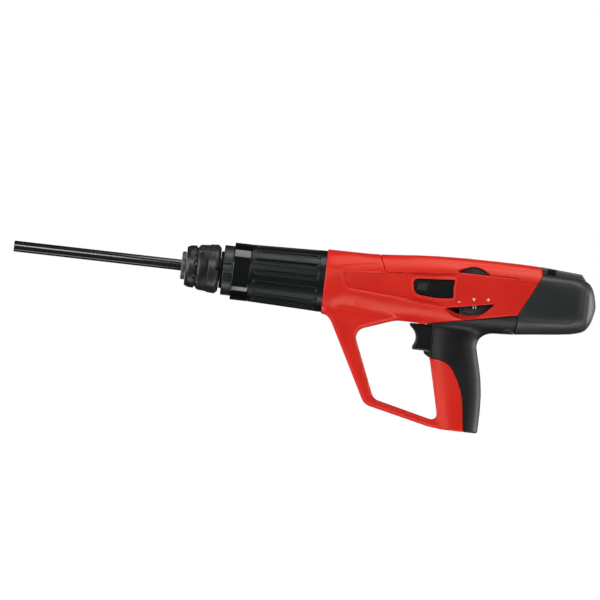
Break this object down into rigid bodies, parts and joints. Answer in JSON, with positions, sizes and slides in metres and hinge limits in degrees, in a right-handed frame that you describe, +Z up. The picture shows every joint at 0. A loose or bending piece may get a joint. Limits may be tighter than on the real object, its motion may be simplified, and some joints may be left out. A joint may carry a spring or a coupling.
{
  "type": "powder-actuated nail gun",
  "caption": "Hand-held powder-actuated fastening tool with a long thin guide tube, fluted contact sleeve, closed-loop hand guard, pistol grip, power wheel and rear cap.",
  "frame": {"origin": "middle of the pistol grip, where the hand closes, below the barrel axis", "axes": "+X along the barrel from the muzzle towards the rear cap, +Y to the tool's right, +Z up, square to the barrel"},
  "size_m": [0.584, 0.0679, 0.1722],
  "materials": {
    "blued_steel": "gloss black",
    "black_ring": "gloss black",
    "grey_polymer": "fine satin",
    "bright_steel": "machined",
    "spring_steel": "drawn wire",
    "buffer_rubber": "matte",
    "casting": "die-cast",
    "red_plastic": "satin moulded",
    "grip_plastic": "soft-touch moulded",
    "cap_plastic": "soft-touch moulded",
    "strip_plastic": "fine matte",
    "lens": "clear-coated dark",
    "control_black": "semi-gloss moulded",
    "circuit_green": "solder mask",
    "screw_steel": "black oxide"
  },
  "bodies": {
    "housing": {"main_frame": "casting", "cartridge_rails": "bright_steel", "cartridge_plates": "bright_steel", "striker_tube": "bright_steel", "striker_plug": "bright_steel", "sear_pin": "bright_steel", "wheel_axle": "bright_steel", "housing_left": "red_plastic", "housing_right": "red_plastic", "top_cover": "red_plastic", "grip_left": "grip_plastic", "grip_right": "grip_plastic", "rear_cap": "cap_plastic", "status_module": "strip_plastic", "status_lens": "lens", "controller_board": "circuit_green", "battery": "bright_steel", "housing_screws": "screw_steel", "grip_screws": "screw_steel", "cap_screws": "screw_steel", "return_spring": "spring_steel", "striker_spring": "spring_steel", "trigger_spring": "spring_steel", "release_spring": "spring_steel"},
    "return_unit": {"guide_tube": "blued_steel", "tube_collar": "black_ring", "guide_base": "bright_steel", "guide_socket": "casting", "front_ring": "black_ring", "fluted_sleeve": "grey_polymer", "unit_carrier": "casting", "piston_guide": "bright_steel", "stop_ring": "bright_steel", "piston_buffer": "buffer_rubber"},
    "piston": {"piston": "bright_steel", "piston_rings": "bright_steel"},
    "guide_nut": {"guide_nut": "grey_polymer"},
    "feed_pawl": {"feed_pawl": "bright_steel"},
    "trigger": {"trigger": "control_black", "trigger_bar": "bright_steel"},
    "sear": {"sear": "bright_steel"},
    "striker": {"striker": "bright_steel"},
    "release_button": {"release_button": "control_black"},
    "power_wheel": {"power_wheel": "control_black"},
    "status_button": {"status_button": "control_black"}
  },
  "joints": [
    {"name": "contact_slide", "type": "slide", "parent": "housing", "child": "return_unit", "axis": [1, 0, 0], "range_m": [0, 0.032], "stiffness_N_per_m": 1500, "springref_m": -0.03, "deforming": ["return_spring"]},
    {"name": "piston_slide", "type": "slide", "parent": "return_unit", "child": "piston", "axis": [-1, 0, 0], "range_m": [0, 0.092]},
    {"name": "nut_turn", "type": "hinge", "parent": "return_unit", "child": "guide_nut", "pos_m": [-0.266, 0, 0.085], "axis": [1, 0, 0], "range_deg": [0, 60]},
    {"name": "feed_slide", "type": "slide", "parent": "housing", "child": "feed_pawl", "axis": [0, 0, 1], "range_m": [0, 0.0105]},
    {"name": "trigger_slide", "type": "slide", "parent": "housing", "child": "trigger", "axis": [1, 0, 0], "range_m": [0, 0.006], "stiffness_N_per_m": 1500, "springref_m": -0.005, "deforming": ["trigger_spring"]},
    {"name": "sear_turn", "type": "hinge", "parent": "housing", "child": "sear", "pos_m": [0.042, 0, 0.071], "axis": [0, -1, 0], "range_deg": [0, 22.5]},
    {"name": "striker_slide", "type": "slide", "parent": "housing", "child": "striker", "axis": [1, 0, 0], "range_m": [0, 0.007], "stiffness_N_per_m": 2000, "springref_m": -0.004, "deforming": ["striker_spring"]},
    {"name": "release_press", "type": "slide", "parent": "housing", "child": "release_button", "axis": [0, 1, 0], "range_m": [0, 0.0025], "stiffness_N_per_m": 1000, "springref_m": -0.003, "deforming": ["release_spring"]},
    {"name": "power_turn", "type": "hinge", "parent": "housing", "child": "power_wheel", "pos_m": [0.005, -0.0263, 0.09175], "axis": [0, 1, 0], "range_deg": [-60, 60]},
    {"name": "status_press", "type": "slide", "parent": "housing", "child": "status_button", "axis": [0, 1, 0], "range_m": [0, 0.001], "stiffness_N_per_m": 800, "springref_m": -0.001}
  ],
  "couplings": [
    {"joint": "sear_turn", "follows": "trigger_slide", "rad_per_m": 64},
    {"joint": "feed_slide", "follows": "contact_slide", "ratio": 0.3125}
  ]
}
